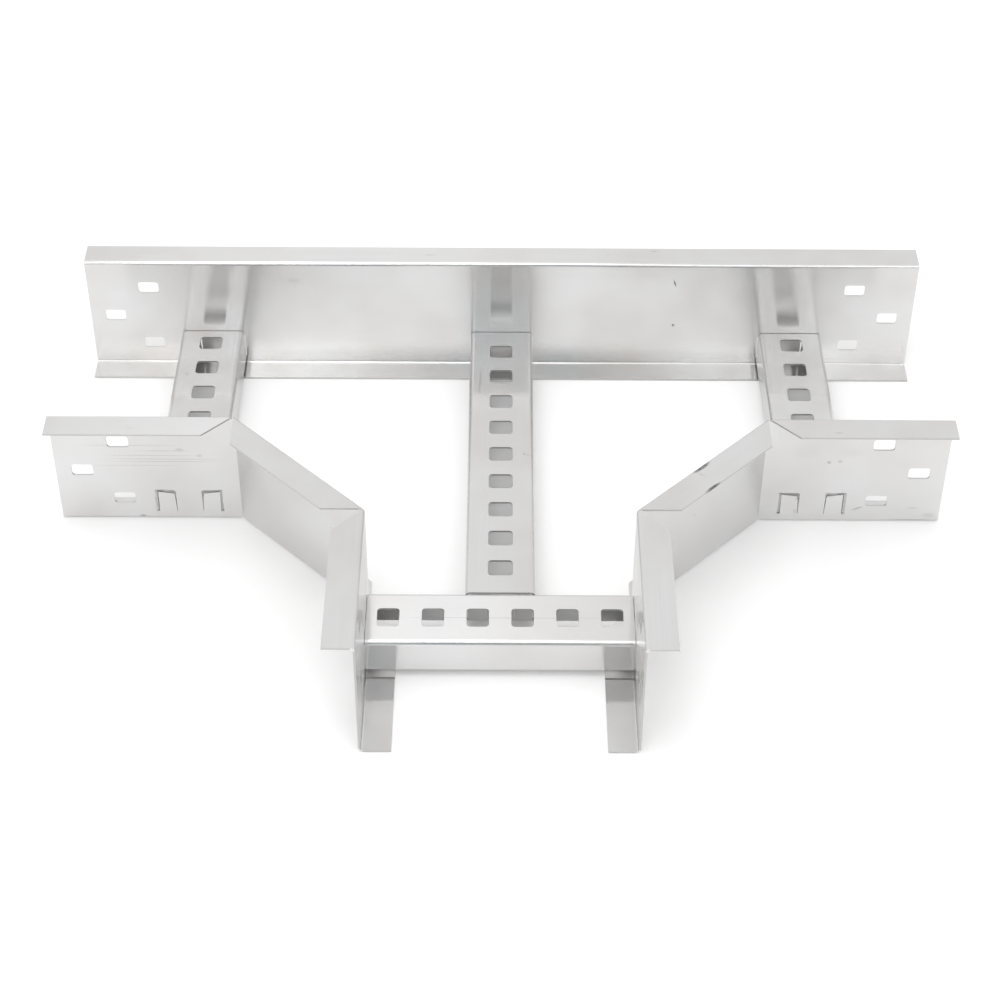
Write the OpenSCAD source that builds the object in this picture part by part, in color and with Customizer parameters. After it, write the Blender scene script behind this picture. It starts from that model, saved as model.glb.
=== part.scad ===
// Equal tee for a ladder cable tray, folded from aluminium sheet.
// The run lies along X and the branch leaves towards -Y.
// The origin is the middle of the tee's footprint, on the floor.

/* [Tray] */
// Clear width of the run and of the branch, between the rails' inner faces
tray_w = 200; // [150:5:400]
// Height of the side rails
rail_h = 106; // [80:1:150]
// Overall width of a rail's top flange, and of its bottom flange
flange_w = 23.5; // [15:0.5:35]
// Straight length of rail at each of the three ends
end_len = 144; // [132:1:300]
// How far a 45 degree corner cuts back, along the run and along the branch alike
corner_leg = 106; // [60:1:250]

/* [Sheet] */
// Thickness of the sheet that rails and rungs are folded from
sheet = 1.5; // [1:0.1:2.5]
// Inside radius of the rails' folds and bends
bend_r = 1.5; // [0.5:0.1:3]

/* [Rungs] */
// Width of a rung
rung_w = 53; // [40:1:60]
// Height of a rung
rung_h = 28; // [27:0.5:45]
// Height of a rung's lower edges above the floor
rung_lift = 6.5; // [4:0.5:15]
// Distance from an end of the tee to the middle of the nearest rung
rung_setback = 102.5; // [90:0.5:110]
// Gap between the end of a rung and the wall that it meets
rung_gap = 0.4; // [0.2:0.1:0.8]
// Inside radius of a rung's folds
rung_bend_r = 2.3; // [0.5:0.1:3]

/* [Cable tie slots] */
// Length of a slot along its rung
tie_slot_len = 16.7; // [8:0.1:25]
// Width of a slot across its rung
tie_slot_w = 19; // [8:0.5:30]
// Corner radius of a slot
tie_slot_r = 3; // [1:0.5:4]
// Distance from slot to slot
tie_slot_pitch = 33.3; // [28:0.1:60]

/* [Splice slots] */
// Length of a slot along its rail
splice_len = 17; // [8:0.5:22]
// Height of a slot
splice_h = 11; // [6:0.5:14]
// Corner radius of a slot
splice_r = 2.5; // [0.5:0.5:3]
// Distance from the rail's end to the middle of the single slot
splice_near = 21; // [15:0.5:28]
// Distance from the rail's end to the middle of the pair of slots
splice_far = 51.5; // [42:0.5:60]
// Height of the single slot's middle above the floor
splice_z = 51; // [45:1:60]
// Height of the pair's slots above and below the single slot
splice_rise = 29; // [16:0.5:32]

/* [Rung tabs] */
// Distance from a rung's middle line to the near side of a tab's opening
tab_in = 10.3; // [6:0.1:14]
// Height of a tab's opening
tab_h = 22.3; // [15:0.1:23]
// Height of the opening's lower edge above the rung's lower edges
tab_rise = 1.3; // [1:0.1:2]
// Corner radius of the opening at its near upper corner
tab_r = 2; // [0.5:0.5:4]
// How far the upper end of a tab is pressed into the rung
tab_push = 1.8; // [0.5:0.1:4]
// Height of the gap over a tab, at its side next to the tongue
tab_drop = 3.2; // [1:0.1:5]
// How much lower a tab's upper end is at its other side
tab_fall = 1.8; // [0:0.1:3]
// Width of the gap beside a tab at its foot
tab_shear = 0.3; // [0.1:0.1:0.6]
// Width of that gap at the tab's upper end
tab_gap = 1.4; // [0.6:0.1:3]
// Gap beside and above the tongue of a rung in the tab's opening
tongue_gap = 0.5; // [0.2:0.1:0.8]
// Open height under the tongue
tongue_foot = 1.8; // [0.5:0.1:3]

/* [Hidden] */
$fn = 48;
bend_angle = 45;
// How far cuts run past the faces they open
over = 1;
// Outside radius of a rail's fold
fold_r = bend_r + sheet;
// Outside radius of a rung's fold
rung_fold_r = rung_bend_r + sheet;
// From the meeting point of two inner faces to where the bend between them starts
bend_start = fold_r * tan(bend_angle / 2);
// Half the length of the run
half_run = tray_w / 2 + corner_leg + end_len;
// From the back rail's inner face to the end of the branch
reach = tray_w + corner_leg + end_len;
// From the back rail's inner face to the middle of the branch rung
branch_rung_y = reach - rung_setback;
// From the back rail's inner face to the wall of the branch rung that faces it
centre_span = branch_rung_y - rung_w / 2;
// From the back rail's inner face to the middle of the footprint
middle_y = (reach - flange_w) / 2;
// From the floor to the lower edge of a tab's opening
tab_z = rung_lift + tab_rise;
opening_w = rung_w / 2 + tongue_gap - tab_in;
// From the near side of a tab's opening to the side of the tab next to the tongue
tab_w = rung_w / 2 - sheet - tongue_gap - tab_in;
tab_tilt = asin(tab_push / (tab_h - tab_drop));
metal = "#d6d8d8";

// Quarter ring of sheet folded round an inside radius, in the quadrant of +x and +y
module fold_2d(r) {
    intersection() {
        difference() {
            circle(r + sheet);
            circle(r);
        }
        square(r + sheet);
    }
}

// Rectangle with rounded corners, centred
module rounded_2d(length, width, r) {
    square([length - 2 * r, width], center = true);
    square([length, width - 2 * r], center = true);
    for (x = [-1, 1], y = [-1, 1])
        translate([x * (length / 2 - r), y * (width / 2 - r)])
            circle(r);
}

// Z-shaped rail section with the web's inner face at x = 0 and the tray's inside towards +x
module rail_section() {
    translate([-sheet, fold_r])
        square([sheet, rail_h - 2 * fold_r]);
    translate([-fold_r, rail_h - fold_r])
        fold_2d(bend_r);
    translate([-flange_w, rail_h - sheet])
        square([flange_w - fold_r, sheet]);
    translate([bend_r, fold_r])
        rotate(180)
            fold_2d(bend_r);
    translate([bend_r, 0])
        square([flange_w - fold_r, sheet]);
}

// The part of the rail section that goes round a bend, without the notched flanges
module web_section() {
    intersection() {
        rail_section();
        translate([-sheet, 0])
            square([sheet, rail_h]);
    }
}

// Cuts both flanges of a rail back at 45 degrees from a bend at x = 0
module flange_notch() {
    for (side = [-1, 1])
        translate([0, 0, side < 0 ? rail_h - fold_r : -over])
            linear_extrude(fold_r + over)
                polygon([[0, side * sheet],
                         [-over, side * sheet],
                         [-over, side * (flange_w + over)],
                         [flange_w + over - sheet, side * (flange_w + over)]]);
}

// Straight stretch of rail from x = 0
module rail_stretch(length) {
    rotate([90, 0, 90])
        linear_extrude(length)
            rail_section();
}

// Stretch of rail that leaves a bend at x = 0, with the bent web before it and its flanges notched
module bent_stretch(length) {
    difference() {
        rail_stretch(length);
        flange_notch();
    }
    translate([0, -fold_r, 0])
        rotate_extrude(angle = bend_angle, start = 90)
            translate([fold_r, 0])
                web_section();
}

// Turns a stretch of rail to one side of a bend and ends it on the bend's middle plane.
// The inner faces of both sides would meet at the origin, and the middle plane is x = 0.
module bend_side() {
    difference() {
        rotate(-bend_angle / 2)
            translate([bend_start, 0, 0])
                children();
        translate([-rail_h, -rail_h, -over])
            cube([rail_h, 2 * rail_h, rail_h + 2 * over]);
    }
}

// Cuts an outline in x and z through a wall whose inner face is at y = 0
module through_wall() {
    translate([0, over, 0])
        rotate([90, 0, 0])
            linear_extrude(sheet + 2 * over)
                children();
}

// The three slots for a splice plate, in a rail that ends at x = 0
module splice_slots() {
    for (place = [[splice_near, 0], [splice_far, splice_rise], [splice_far, -splice_rise]])
        through_wall()
            translate([place[0], splice_z + place[1]])
                rounded_2d(splice_len, splice_h, splice_r);
}

// Outline of a tab's opening, its upper corner nearest to the rung's middle line rounded
module opening_2d() {
    square([opening_w, tab_h - tab_r]);
    translate([tab_r, 0])
        square([opening_w - tab_r, tab_h]);
    translate([tab_r, tab_h - tab_r])
        circle(tab_r);
}

// Outline of a tab in that opening, narrower and slanted at its upper end
module tab_2d() {
    polygon([[tab_shear, 0],
             [tab_w, 0],
             [tab_w, tab_h - tab_drop],
             [tab_gap, tab_h - tab_drop - tab_fall]]);
}

// The pair of openings that take a rung's tongues, with the rung's middle line at x = 0
module seat_openings() {
    for (side = [0, 1])
        mirror([side, 0, 0])
            through_wall()
                translate([tab_in, tab_z])
                    opening_2d();
}

// The pair of tabs that lean from the wall into the rung
module seat_tabs() {
    for (side = [0, 1])
        mirror([side, 0, 0])
            translate([tab_in, -sheet, tab_z])
                rotate([90 - tab_tilt, 0, 0])
                    translate([0, 0, -sheet])
                        linear_extrude(sheet)
                            tab_2d();
}

// Back rail from its right end at x = 0, with seats for three rungs
module straight_rail() {
    seats = [rung_setback, half_run, 2 * half_run - rung_setback];
    difference() {
        rail_stretch(2 * half_run);
        splice_slots();
        translate([2 * half_run, 0, 0])
            mirror([1, 0, 0])
                splice_slots();
        for (x = seats)
            translate([x, 0, 0])
                seat_openings();
    }
    for (x = seats)
        translate([x, 0, 0])
            seat_tabs();
}

// Straight end of a corner rail, from its bend at x = 0, with a seat for one rung
module corner_rail_end() {
    length = end_len - bend_start;
    difference() {
        bent_stretch(length);
        translate([length, 0, 0])
            mirror([1, 0, 0])
                splice_slots();
        translate([length - rung_setback, 0, 0])
            seat_openings();
    }
    translate([length - rung_setback, 0, 0])
        seat_tabs();
}

// Half of the left corner rail, from the run's end to the middle of the diagonal at the origin
module corner_rail_half() {
    difference() {
        translate([-corner_leg / 2, corner_leg / 2, 0])
            rotate(-bend_angle / 2) {
                mirror([1, 0, 0])
                    bend_side()
                        corner_rail_end();
                bend_side()
                    bent_stretch(corner_leg);
            }
        rotate(-bend_angle)
            translate([0, -corner_leg, -over])
                cube([corner_leg, 2 * corner_leg, rail_h + 2 * over]);
    }
}

// Left corner rail, the same on both sides of the diagonal's middle
module corner_rail() {
    translate([-(tray_w + corner_leg) / 2, middle_y - tray_w - corner_leg / 2, 0]) {
        corner_rail_half();
        mirror([1, -1, 0])
            corner_rail_half();
    }
}

// Section of a rung, an upturned channel about x = 0
module rung_section() {
    for (side = [0, 1])
        mirror([side, 0]) {
            translate([rung_w / 2 - sheet, 0])
                square([sheet, rung_h - rung_fold_r]);
            translate([rung_w / 2 - rung_fold_r, rung_h - rung_fold_r])
                fold_2d(rung_bend_r);
        }
    translate([rung_fold_r - rung_w / 2, rung_h - sheet])
        square([rung_w - 2 * rung_fold_r, sheet]);
}

// Rung between two inner faces at x = 0 and x = span, with a tongue at each corner
module rung(span) {
    slots = floor(span / tie_slot_pitch);
    first_slot = (span - (slots - 1) * tie_slot_pitch) / 2;
    tongue_h = tab_h - tongue_gap - tongue_foot;
    difference() {
        translate([rung_gap, 0, rung_lift])
            rotate([90, 0, 90])
                linear_extrude(span - 2 * rung_gap)
                    rung_section();
        for (i = [0 : slots - 1])
            translate([first_slot + i * tie_slot_pitch, 0, rung_lift + rung_h - sheet - over])
                linear_extrude(sheet + 2 * over)
                    rounded_2d(tie_slot_len, tie_slot_w, tie_slot_r);
    }
    for (x = [-sheet, span - rung_gap], y = [-rung_w / 2, rung_w / 2 - sheet])
        translate([x, y, tab_z + tongue_foot])
            cube([sheet + rung_gap, sheet, tongue_h]);
}

// Rung that lies across the run, from the back rail towards the branch
module cross_rung(x, span) {
    translate([x, middle_y, 0])
        rotate(-90)
            rung(span);
}

module back_rail() {
    color(metal)
        translate([0, middle_y, 0])
            rotate(180)
                translate([-half_run, 0, 0])
                    straight_rail();
}

module left_corner_rail() {
    color(metal)
        corner_rail();
}

module right_corner_rail() {
    color(metal)
        mirror([1, 0, 0])
            corner_rail();
}

module left_rung() {
    color(metal)
        cross_rung(rung_setback - half_run, tray_w);
}

module right_rung() {
    color(metal)
        cross_rung(half_run - rung_setback, tray_w);
}

module centre_rung() {
    color(metal)
        cross_rung(0, centre_span);
}

// The rung across the branch has a seat for the centre rung in the wall that faces the run
module branch_rung() {
    color(metal)
        translate([0, middle_y - branch_rung_y, 0]) {
            difference() {
                translate([-tray_w / 2, 0, 0])
                    rung(tray_w);
                translate([0, rung_w / 2, 0])
                    seat_openings();
            }
            translate([0, rung_w / 2, 0])
                seat_tabs();
        }
}

back_rail();
left_corner_rail();
right_corner_rail();
left_rung();
right_rung();
centre_rung();
branch_rung();
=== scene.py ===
import math
import bpy
from mathutils import Matrix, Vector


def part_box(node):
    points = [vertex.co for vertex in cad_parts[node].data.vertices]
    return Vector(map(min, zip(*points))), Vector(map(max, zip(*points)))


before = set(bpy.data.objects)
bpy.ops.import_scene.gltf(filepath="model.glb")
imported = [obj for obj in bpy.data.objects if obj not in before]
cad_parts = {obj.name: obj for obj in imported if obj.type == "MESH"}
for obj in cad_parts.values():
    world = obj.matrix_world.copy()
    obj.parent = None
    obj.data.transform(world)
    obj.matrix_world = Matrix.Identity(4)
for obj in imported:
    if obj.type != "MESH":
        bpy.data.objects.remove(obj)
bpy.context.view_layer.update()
print("tee loaded:", ", ".join(sorted(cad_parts)))


def hexLinear(code):
    channels = [int(code[i:i + 2], 16) / 255 for i in (1, 3, 5)]
    return [c / 12.92 if c <= 0.04045 else ((c + 0.055) / 1.055) ** 2.4 for c in channels] + [1.0]


def addNode(tree, kind, settings=None, values=None, links=None):
    node = tree.nodes.new(kind)
    for name, value in (settings or {}).items():
        setattr(node, name, value)
    for socket, value in (values or {}).items():
        node.inputs[socket].default_value = value
    for socket, source in (links or {}).items():
        tree.links.new(source, node.inputs[socket])
    return node


# Mill-finish aluminium, cold rolled and left bare: a silvery sheet with fine lines along
# the rolling direction, which smear a reflection across the lines and keep it crisp along
# them, with cloudy patches, small marks from handling and painted shade at the lanced tabs, and duller where
# it was sheared
sheetLook = {
    "metal": "#dfdfdf",
    "lineTone": "#dbdbda",          # the darker rolling lines
    "cloudTone": "#d9d6d4",         # handled patches, a little warmer
    # the marks' dark tone, which also paints the shade at the lanced tabs' top gaps
    "markAndShadeTone": "#565553",
    "cutTone": "#d3d2d0",           # sheared edges
    "roughness": 0.22,
    "roughSpread": 0.05,            # how far the patches vary it
    "cutRough": 0.45,
    "anisotropy": 1.0,
    "lineGap": 2.2,                 # mm, real lines are finer and wouldn't show at this distance
    "lineLength": 260.0,            # mm
    "lineRange": (0.45, 0.8),       # noise levels at which a line starts and is full
    "cloudSize": 70.0,              # mm
    "cloudRange": (0.35, 0.75),     # noise levels at which a patch starts and is full
    "waveSize": 110.0,              # mm, how far apart the sheet's shallow waves are
    "wave": 0.12,                   # mm of height
    "thick": 1.5,                   # mm
    "webBand": (0.3, 1.75),         # mm from the plan line, middle and half width of a web's band
    "cutMargin": 0.05,              # mm, keeps the flat faces out of the edges
    "edgeTurn": 0.6,                # an edge's normal has less than this along the sheet's own
    "markEdge": 0.9,                # mm, how ragged a mark's outline is
    "markRag": 2.5,                 # mm, size of the rags
    "markFade": (1.1, 0.4),         # half sizes from the middle where a mark starts and is full
    "markGrain": 1.3,               # mm, size of the bare patches in a mark
    "grainRange": (0.4, 0.54),      # noise levels at which a bare patch ends and the mark is full
    "grainLeast": 0.5,              # how much of the mark a bare patch keeps
}


# The outer faces of a rung's two walls
def rungWalls(node):
    low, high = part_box(node)
    if high[0] - low[0] < high[1] - low[1]:
        return [(1, 0, high[0] * 1000), (-1, 0, -low[0] * 1000)]
    return [(0, 1, high[1] * 1000), (0, -1, -low[1] * 1000)]


# Where the inner faces of the webs stand, in mm
clearWidth = 200                    # between the webs of the run, and of the branch
cornerLeg = 106                     # how far a corner reaches along the run and the branch
backWeb = 213.25                    # y
frontWeb = backWeb - clearWidth     # y
branchWeb = clearWidth / 2          # x, to either side
diag = math.sqrt(0.5)
cornerWeb = (frontWeb - branchWeb - cornerLeg) * diag   # from the origin, square to the web

# The faces that carry most marks, in mm
backFace = 213.2                    # y, just inside the back web
frontFace = 11.7                    # y, the outside of the front webs
tabFace = 13.5                      # y, just inside the front webs, at the lanced tabs
railTop = 106                       # z, the rails' top flanges
rungTop = 34.5                      # z, the rungs' tops
straight = (0, 0, 0)                # a mark that isn't turned

# Each piece: the plan lines that its sheet follows (normal x, normal y, distance in mm), from
# which the rolling direction comes, the outside radius of its folds, and its marks (place, half
# sizes and turns about X, Y and Z in mm and degrees, and how dark it is)
pieces = {
    "back_rail": {
        "lines": [(0, -1, -backWeb)],
        "foldRadius": 3.0,
        "marks": [
            ((146.2, backFace, 87), (4.3, 2, 0.85), (0, 74, 0), 1.0),
            ((147, backFace, 43), (1.5, 2, 1.5), straight, 1.0),
            ((94, backFace, 59), (0.9, 2, 0.8), straight, 0.35),
            ((113, backFace, 17), (1.1, 2, 0.8), straight, 0.4),
            ((-175, backFace, 88), (7, 2, 3), straight, 0.12),
            ((89.5, 227, railTop), (0.9, 0.8, 2), straight, 0.5),
            ((-60, 226, railTop), (6, 0.6, 2), straight, 0.3),
            ((129, 233, railTop), (4, 0.6, 2), (0, 0, 4), 0.4),
        ],
    },
    "left_corner_rail": {
        "lines": [(0, 1, frontWeb), (diag, diag, cornerWeb), (1, 0, -branchWeb)],
        "foldRadius": 3.0,
        "marks": [
            ((-284, frontFace, 56), (44, 2, 0.5), straight, 0.18),
            ((-262, frontFace, 60.1), (52, 2, 0.6), straight, 0.24),
            ((-263, frontFace, 62.6), (54, 2, 0.6), straight, 0.24),
            ((-273, frontFace, 66.2), (44, 2, 0.6), straight, 0.2),
            ((-262, frontFace, 71), (26, 2, 0.7), straight, 0.18),
            ((-293, frontFace, 76.5), (46, 2, 0.6), straight, 0.2),
            # painted shade: these two darken the top gaps of the lanced tabs, where the tabs are pushed in
            # and the recess lies in shadow
            ((-265.5, tabFace, 28.8), (9.5, 6, 1.9), (0, 7.6, 0), 1.0),
            ((-229.5, tabFace, 28.4), (10, 6, 1.9), (0, -7.2, 0), 1.0),
            ((-251, frontFace, 72), (4, 2, 2.5), straight, 0.22),
            ((-236, frontFace, 66), (3, 2, 2), straight, 0.2),
            ((-286, frontFace, 3), (3, 2, 1.0), straight, 0.7),
            ((-202, 7, 59), (1, 1, 1), straight, 0.4),
            ((-128, -67, 63), (1, 1, 1), straight, 0.4),
            ((-294, 5.9, railTop), (4, 1.2, 2), straight, 0.1),
            ((-284, -2.4, railTop), (3, 1.2, 2), straight, 0.1),
        ],
    },
    "right_corner_rail": {
        "lines": [(0, 1, frontWeb), (-diag, diag, cornerWeb), (-1, 0, -branchWeb)],
        "foldRadius": 3.0,
        "marks": [
            ((150.5, -45.2, railTop), (10.5, 2.8, 3), (0, 0, 45), 1.0),
            ((150, -53.4, railTop), (4, 1.2, 2), (0, 0, -30), 0.12),
            ((157.8, -67.8, 105.5), (9.5, 1.5, 2), (0, 0, 45), 0.95),
            ((238, frontFace, 74), (15, 2, 9), straight, 0.05),
            ((272, frontFace, 72), (12, 2, 6), straight, 0.05),
            ((257, frontFace, 62.2), (2.2, 2, 1.8), straight, 0.36),
            ((265.5, frontFace, 63.3), (2.2, 2, 1.8), straight, 0.28),
            ((285, frontFace, 14.7), (4.8, 2, 0.8), (0, -16, 0), 0.5),
            ((282.5, frontFace, 12.6), (3.2, 2, 0.7), (0, -6, 0), 0.4),
            ((328, frontFace, 14.7), (6, 2, 1.6), straight, 0.14),
            ((342, frontFace, 7), (6, 2, 3), straight, 0.16),
            ((235.5, frontFace, 23.2), (2.6, 2, 3.6), straight, 0.28),
            ((235.2, frontFace, 10.6), (2.2, 2, 2.8), straight, 0.22),
            # painted shade: these two darken the top gaps of the lanced tabs, where the tabs are pushed in
            # and the recess lies in shadow
            ((228.2, tabFace, 28.6), (10, 6, 1.7), (0, 5.4, 0), 0.95),
            ((265.6, tabFace, 28.6), (10, 6, 2.1), (0, -5.9, 0), 1.0),
            ((327, frontFace, 2), (24, 2, 0.9), straight, 0.35),
            ((148.6, -46.3, 58.6), (1, 1, 1), straight, 0.45),
            ((258, -4.4, railTop), (4, 1.2, 2), straight, 0.2),
        ],
    },
    "left_rung": {
        "lines": rungWalls("left_rung"),
        "foldRadius": 3.8,
        "marks": [((-264, 154, rungTop), (1.2, 1.2, 2), straight, 0.4)],
    },
    "right_rung": {
        "lines": rungWalls("right_rung"),
        "foldRadius": 3.8,
        "marks": [((231, 160, rungTop), (1.4, 1.0, 2), straight, 0.2)],
    },
    "centre_rung": {
        "lines": rungWalls("centre_rung"),
        "foldRadius": 3.8,
        "marks": [
            ((18.6, 52.6, rungTop), (0.9, 0.8, 2), straight, 0.6),
            ((21.9, 51.4, rungTop), (0.8, 0.8, 2), straight, 0.5),
            ((-17.5, 144.5, rungTop), (16.5, 0.7, 2), (0, 0, 88), 0.25),
        ],
    },
    "branch_rung": {
        "lines": rungWalls("branch_rung"),
        "foldRadius": 3.8,
        "marks": [((1.5, -134.5, rungTop), (97, 0.45, 1), straight, 0.25)],
    },
}


# Distance from each of the piece's lines in plan, and the largest of them
def awayFromWeb(tree, place, lines):
    reach = []
    for nx, ny, away in lines:
        dot = addNode(tree, "ShaderNodeVectorMath", {"operation": "DOT_PRODUCT"}, {1: (nx, ny, 0)},
                      {0: place})
        off = addNode(tree, "ShaderNodeMath", {"operation": "SUBTRACT"}, {1: away / 1000},
                      {0: dot.outputs["Value"]})
        reach.append(off.outputs[0])
    out = reach[0]
    for other in reach[1:]:
        out = addNode(tree, "ShaderNodeMath", {"operation": "MAXIMUM"}, links={0: out, 1: other}).outputs[0]
    return reach, out


# The direction across the rolling lines, on webs and flanges alike
def acrossLines(tree, lines, reach, out):
    sameLine = 1e-6             # m, a smaller difference is none
    near = addNode(tree, "ShaderNodeMath", {"operation": "SUBTRACT"}, {1: sameLine}, {0: out}).outputs[0]
    across = None
    for (nx, ny, _), own in zip(lines, reach):
        here = addNode(tree, "ShaderNodeMath", {"operation": "GREATER_THAN"},
                       links={0: own, 1: near}).outputs[0]
        turned = addNode(tree, "ShaderNodeVectorMath", {"operation": "SCALE"}, {0: (nx, ny, 1)},
                         {"Scale": here}).outputs[0]
        across = turned if across is None else addNode(
            tree, "ShaderNodeVectorMath", {"operation": "ADD"}, links={0: across, 1: turned}).outputs[0]
    return across


# Rolling lines, long along the sheet and fine across it, over cloudy patches
def rolledTone(tree, place, parts, out, look):
    # the way across the sheet: height on a web, distance from the web on a flange
    girth = addNode(tree, "ShaderNodeMath", {"operation": "SUBTRACT"},
                    links={0: parts["Z"], 1: out}).outputs[0]
    flow = addNode(tree, "ShaderNodeCombineXYZ",
                   links={"X": parts["X"], "Y": parts["Y"], "Z": girth}).outputs[0]
    stretch = [1000 / look["lineLength"], 1000 / look["lineLength"], 1000 / look["lineGap"]]
    drawn = addNode(tree, "ShaderNodeMapping", values={"Scale": stretch}, links={"Vector": flow}).outputs[0]
    lines = addNode(tree, "ShaderNodeTexNoise", values={"Scale": 1.0, "Detail": 3.0, "Roughness": 0.6},
                    links={"Vector": drawn}).outputs[0]
    lineMask = addNode(tree, "ShaderNodeMapRange",
                       values={"From Min": look["lineRange"][0], "From Max": look["lineRange"][1]},
                       links={"Value": lines}).outputs[0]
    clouds = addNode(tree, "ShaderNodeTexNoise", values={"Scale": 1000 / look["cloudSize"], "Detail": 2.0},
                     links={"Vector": place}).outputs[0]
    cloudMask = addNode(tree, "ShaderNodeMapRange", {"interpolation_type": "SMOOTHSTEP"},
                        {"From Min": look["cloudRange"][0], "From Max": look["cloudRange"][1]},
                        {"Value": clouds}).outputs[0]
    tone = addNode(tree, "ShaderNodeMix", {"data_type": "RGBA"},
                   {6: hexLinear(look["metal"]), 7: hexLinear(look["cloudTone"])}, {0: cloudMask}).outputs[2]
    tone = addNode(tree, "ShaderNodeMix", {"data_type": "RGBA"}, {7: hexLinear(look["lineTone"])},
                   {0: lineMask, 6: tone}).outputs[2]
    return tone, clouds


# Sheared edges: on the sheet's thickness, away from the folds, and facing along the sheet
def shearedEdges(tree, node, piece, height, out, across, look):
    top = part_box(node)[1][2]
    half, fold = look["thick"] / 2000, piece["foldRadius"] / 1000
    flange = half - look["cutMargin"] / 1000
    webMiddle, webHalf = (v / 1000 for v in look["webBand"])
    far = 0.5                   # m, longer than any flange is wide
    facing = addNode(tree, "ShaderNodeNewGeometry").outputs["True Normal"]
    plan = addNode(tree, "ShaderNodeVectorMath", {"operation": "MULTIPLY"}, {1: (1, 1, 0)},
                   {0: across}).outputs[0]
    level = addNode(tree, "ShaderNodeVectorMath", {"operation": "DOT_PRODUCT"}, {1: (0, 0, 1)}, {0: facing})
    square = addNode(tree, "ShaderNodeVectorMath", {"operation": "DOT_PRODUCT"}, links={0: facing, 1: plan})
    # web, top flange and bottom flange: the way through the thickness, its middle and half width,
    # the way along the sheet, its middle and half width, and the face's turn to the sheet's normal
    cuts = [
        (out, webMiddle, webHalf, height, top / 2, top / 2 - fold, square),
        (height, top - half, flange, out, -far - fold, far, level),
        (height, half, flange, out, far + fold / 2, far, level),
    ]
    cut = None
    for through, middle, reachIn, along, centre, reachAlong, turn in cuts:
        within = addNode(tree, "ShaderNodeMath", {"operation": "COMPARE"}, {1: middle, 2: reachIn},
                         {0: through}).outputs[0]
        clear = addNode(tree, "ShaderNodeMath", {"operation": "COMPARE"}, {1: centre, 2: reachAlong},
                        {0: along}).outputs[0]
        edgeOn = addNode(tree, "ShaderNodeMath", {"operation": "COMPARE"}, {1: 0.0, 2: look["edgeTurn"]},
                         {0: turn.outputs["Value"]}).outputs[0]
        both = addNode(tree, "ShaderNodeMath", {"operation": "MULTIPLY"},
                       links={0: within, 1: clear}).outputs[0]
        own = addNode(tree, "ShaderNodeMath", {"operation": "MULTIPLY"},
                      links={0: both, 1: edgeOn}).outputs[0]
        cut = own if cut is None else addNode(
            tree, "ShaderNodeMath", {"operation": "MAXIMUM"}, links={0: cut, 1: own}).outputs[0]
    return cut


# Scuffs, scratches and dots from handling, and painted shade at the top gaps of the lanced tabs, each a soft
# ellipsoid with a ragged outline and bare patches
def marksAndTabShade(tree, place, marks, look):
    rag = addNode(tree, "ShaderNodeTexNoise", values={"Scale": 1000 / look["markRag"], "Detail": 2.0},
                  links={"Vector": place})
    shift = addNode(tree, "ShaderNodeVectorMath", {"operation": "SUBTRACT"}, {1: (0.5, 0.5, 0.5)},
                    {0: rag.outputs["Color"]})
    ragged = addNode(tree, "ShaderNodeVectorMath", {"operation": "MULTIPLY_ADD"},
                     {1: [look["markEdge"] / 1000] * 3}, {0: shift.outputs[0], 2: place}).outputs[0]
    wearAndShade = None
    for middle, half, turns, dark in marks:
        near = addNode(tree, "ShaderNodeMapping", {"vector_type": "TEXTURE"},
                       {"Location": [v / 1000 for v in middle], "Rotation": [math.radians(a) for a in turns],
                        "Scale": [v / 1000 for v in half]}, {"Vector": ragged})
        away = addNode(tree, "ShaderNodeVectorMath", {"operation": "LENGTH"}, links={0: near.outputs[0]})
        spot = addNode(tree, "ShaderNodeMapRange", {"interpolation_type": "SMOOTHSTEP"},
                       {"From Min": look["markFade"][0], "From Max": look["markFade"][1], "To Max": dark},
                       {"Value": away.outputs["Value"]}).outputs[0]
        wearAndShade = spot if wearAndShade is None else addNode(
            tree, "ShaderNodeMath", {"operation": "MAXIMUM"}, links={0: wearAndShade, 1: spot}).outputs[0]
    grain = addNode(tree, "ShaderNodeTexNoise", values={"Scale": 1000 / look["markGrain"], "Detail": 2.0},
                    links={"Vector": place}).outputs[0]
    patchy = addNode(tree, "ShaderNodeMapRange",
                     values={"From Min": look["grainRange"][0], "From Max": look["grainRange"][1],
                             "To Min": look["grainLeast"]},
                     links={"Value": grain}).outputs[0]
    return addNode(tree, "ShaderNodeMath", {"operation": "MULTIPLY"}, links={0: wearAndShade, 1: patchy}).outputs[0]


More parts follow.
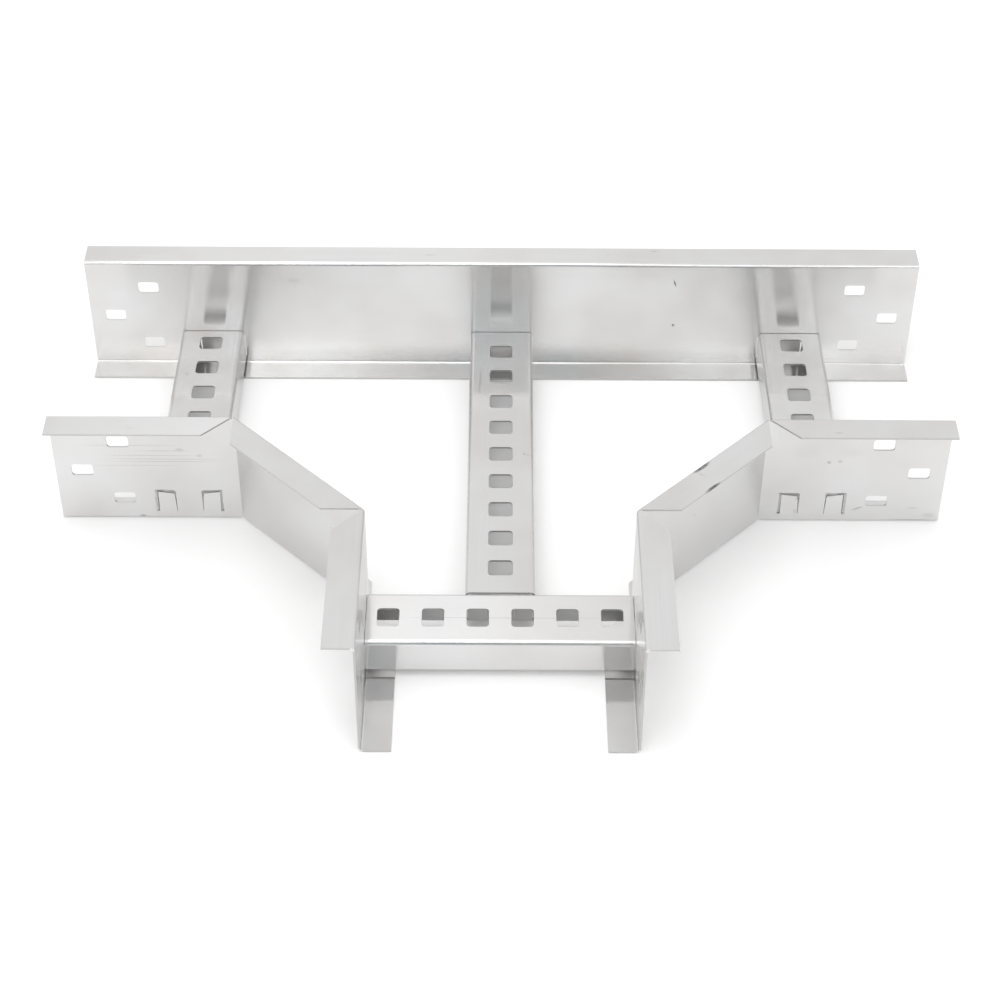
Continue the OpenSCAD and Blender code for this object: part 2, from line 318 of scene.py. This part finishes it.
def rolledSheet(node, piece):
    look = sheetLook
    material = bpy.data.materials.new("millAluminium_" + node)
    material.use_nodes = True
    tree = material.node_tree
    tree.nodes.clear()
    place = addNode(tree, "ShaderNodeTexCoord").outputs["Object"]
    parts = addNode(tree, "ShaderNodeSeparateXYZ", links={0: place}).outputs
    reach, out = awayFromWeb(tree, place, piece["lines"])
    across = acrossLines(tree, piece["lines"], reach, out)
    tone, clouds = rolledTone(tree, place, parts, out, look)

    # shallow waves left by rolling and folding bend the reflections
    waves = addNode(tree, "ShaderNodeTexNoise", values={"Scale": 1000 / look["waveSize"], "Detail": 0.0},
                    links={"Vector": place}).outputs[0]
    bump = addNode(tree, "ShaderNodeBump", values={"Strength": 1.0, "Distance": look["wave"] / 1000},
                   links={"Height": waves}).outputs[0]
    rough = addNode(tree, "ShaderNodeMapRange",
                    values={"To Min": look["roughness"] - look["roughSpread"],
                            "To Max": look["roughness"] + look["roughSpread"]},
                    links={"Value": clouds}).outputs[0]

    cut = shearedEdges(tree, node, piece, parts["Z"], out, across, look)
    tone = addNode(tree, "ShaderNodeMix", {"data_type": "RGBA"}, {7: hexLinear(look["cutTone"])},
                   {0: cut, 6: tone}).outputs[2]
    rough = addNode(tree, "ShaderNodeMix", {"data_type": "FLOAT"}, {3: look["cutRough"]},
                    {0: cut, 2: rough}).outputs[0]
    # real handling marks and the painted shade at the tabs' top gaps darken the tone
    wearAndShade = marksAndTabShade(tree, place, piece["marks"], look)
    tone = addNode(tree, "ShaderNodeMix", {"data_type": "RGBA"}, {7: hexLinear(look["markAndShadeTone"])},
                   {0: wearAndShade, 6: tone}).outputs[2]

    metal = addNode(tree, "ShaderNodeBsdfPrincipled",
                    values={"Metallic": 1.0, "Anisotropic": look["anisotropy"]},
                    links={"Base Color": tone, "Roughness": rough, "Normal": bump, "Tangent": across})
    addNode(tree, "ShaderNodeOutputMaterial", links={"Surface": metal.outputs[0]})
    return material


for node, piece in pieces.items():
    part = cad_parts[node]
    part.data.materials.clear()
    part.data.materials.append(rolledSheet(node, piece))
print("rolled aluminium on", len(pieces), "pieces")


# White paper floor, four softboxes and a pale room that is lighter towards the back left. Three
# grey cards give the metal its darker reflections: a strip close in front of the tee for the
# branch rung's face and the lips below it, one above the camera, and a low wide one behind it
studio = {
    "floorTone": "#f4f4f4",
    "floorSize": 9.0,               # m
    "floorDrop": 0.0004,            # m, keeps the paper clear of the rails' underside
    "floorLift": 0.1,               # white added where the camera or the metal sees the paper
    "roomTone": "#ffffff",
    "roomBright": 0.98,             # towards the back left
    "roomDim": 0.88,                # towards the front right
    "roomTurn": (-0.65, 0.76, 0.0),
    "roomFade": 0.8,                # how far to each side the room goes on changing
    "cardRough": 0.9,
    "lamps": {                      # watts, size and place in metres
        "topSoftbox": (5.6, 0.8, (-0.2, -0.35, 1.9)),
        "backSoftbox": (2.0, 0.8, (-0.25, 0.5, 2.0)),
        "leftSoftbox": (8.6, 1.3, (-0.9, -1.9, 2.25)),
        "rightSoftbox": (8.6, 1.3, (0.9, -1.9, 2.25)),
    },
    "cards": {                      # tone, middle and size in metres
        "narrowCard": ("#3c4a50", (0.035, -0.9, 0.655), (0.78, 0.27)),
        "upperCard": ("#70777b", (0, -1.7, 1.75), (0.42, 0.9)),
        "lowCard": ("#a3a9ac", (0, -3.0, 1.1), (2.8, 2.1)),
    },
}


def paperSweep():
    bpy.ops.mesh.primitive_plane_add(size=studio["floorSize"], location=(0, 0, -studio["floorDrop"]))
    floor = bpy.context.object
    floor.name = "paperFloor"
    material = bpy.data.materials.new("whitePaper")
    material.use_nodes = True
    tree = material.node_tree
    tree.nodes.clear()
    seen = addNode(tree, "ShaderNodeLightPath").outputs
    shown = addNode(tree, "ShaderNodeMath", {"operation": "MAXIMUM"},
                    links={0: seen["Is Camera Ray"], 1: seen["Is Glossy Ray"]}).outputs[0]
    shown = addNode(tree, "ShaderNodeMath", {"operation": "MAXIMUM"},
                    links={0: shown, 1: seen["Is Transmission Ray"]}).outputs[0]
    lift = addNode(tree, "ShaderNodeMath", {"operation": "MULTIPLY"}, {1: studio["floorLift"]}, {0: shown})
    paper = addNode(tree, "ShaderNodeBsdfDiffuse", values={"Color": hexLinear(studio["floorTone"])})
    glow = addNode(tree, "ShaderNodeEmission", links={"Strength": lift.outputs[0]})
    both = addNode(tree, "ShaderNodeAddShader", links={0: paper.outputs[0], 1: glow.outputs[0]})
    addNode(tree, "ShaderNodeOutputMaterial", links={"Surface": both.outputs[0]})
    floor.data.materials.append(material)


def greyCard(name, tone, middle, size):
    bpy.ops.mesh.primitive_plane_add(size=1.0)
    card = bpy.context.object
    card.name = name
    upright = Matrix.Rotation(math.radians(90), 4, "X") @ Matrix.Diagonal((*size, 1, 1))
    card.data.transform(Matrix.Translation(middle) @ upright)
    # it shows in the metal alone, and shades nothing
    card.visible_camera = False
    card.visible_shadow = False
    card.visible_diffuse = False
    material = bpy.data.materials.new(name)
    material.use_nodes = True
    sheet = material.node_tree.nodes["Principled BSDF"].inputs
    sheet["Base Color"].default_value = hexLinear(tone)
    sheet["Roughness"].default_value = studio["cardRough"]
    card.data.materials.append(material)


def softLight():
    world = bpy.data.worlds.new("paleStudio")
    bpy.context.scene.world = world
    world.use_nodes = True
    tree = world.node_tree
    tree.nodes.clear()
    towards = addNode(tree, "ShaderNodeTexCoord").outputs["Generated"]
    side = addNode(tree, "ShaderNodeVectorMath", {"operation": "DOT_PRODUCT"}, {1: studio["roomTurn"]},
                   {0: towards})
    level = addNode(tree, "ShaderNodeMapRange",
                    values={"From Min": -studio["roomFade"], "From Max": studio["roomFade"],
                            "To Min": studio["roomDim"], "To Max": studio["roomBright"]},
                    links={"Value": side.outputs["Value"]}).outputs[0]
    room = addNode(tree, "ShaderNodeBackground", values={"Color": hexLinear(studio["roomTone"])},
                   links={"Strength": level})
    addNode(tree, "ShaderNodeOutputWorld", links={"Surface": room.outputs[0]})
    for name, (watts, size, place) in studio["lamps"].items():
        lamp = bpy.data.objects.new(name, bpy.data.lights.new(name, "AREA"))
        lamp.data.energy = watts
        lamp.data.size = size
        lamp.location = place
        lamp.rotation_euler = (-lamp.location).to_track_quat("-Z", "Y").to_euler()     # aimed at the tee
        bpy.context.scene.collection.objects.link(lamp)


paperSweep()
for name, (tone, middle, size) in studio["cards"].items():
    greyCard(name, tone, middle, size)
softLight()
print("studio set")


# The photograph's viewpoint, found from the tee's corners
viewpoint = {
    "place": (-0.0013, -1.30825, 1.2005),   # m
    "pitch": 41.777,                # degrees down
    "yaw": -0.034,                  # degrees
    "roll": 0.290,                  # degrees
    "focal": 2225.7,                # pixels
    "picture": 1000,                # pixels, the picture's width
    "sensor": 36,                   # mm
    "farEnd": 50,                   # m
}


def lookFrom(view):
    data = bpy.data.cameras.new("viewpoint")
    data.sensor_fit = "HORIZONTAL"
    data.sensor_width = view["sensor"]
    data.lens = view["focal"] / view["picture"] * view["sensor"]
    data.clip_end = view["farEnd"]
    camera = bpy.data.objects.new("viewpoint", data)
    bpy.context.scene.collection.objects.link(camera)
    yaw = Matrix.Rotation(math.radians(view["yaw"]), 4, "Z")
    pitch = Matrix.Rotation(math.radians(90 - view["pitch"]), 4, "X")
    roll = Matrix.Rotation(math.radians(view["roll"]), 4, "Z")
    camera.matrix_world = Matrix.Translation(view["place"]) @ yaw @ pitch @ roll
    bpy.context.scene.camera = camera


lookFrom(viewpoint)
bpy.context.scene.view_settings.view_transform = "Standard"
print("camera placed")
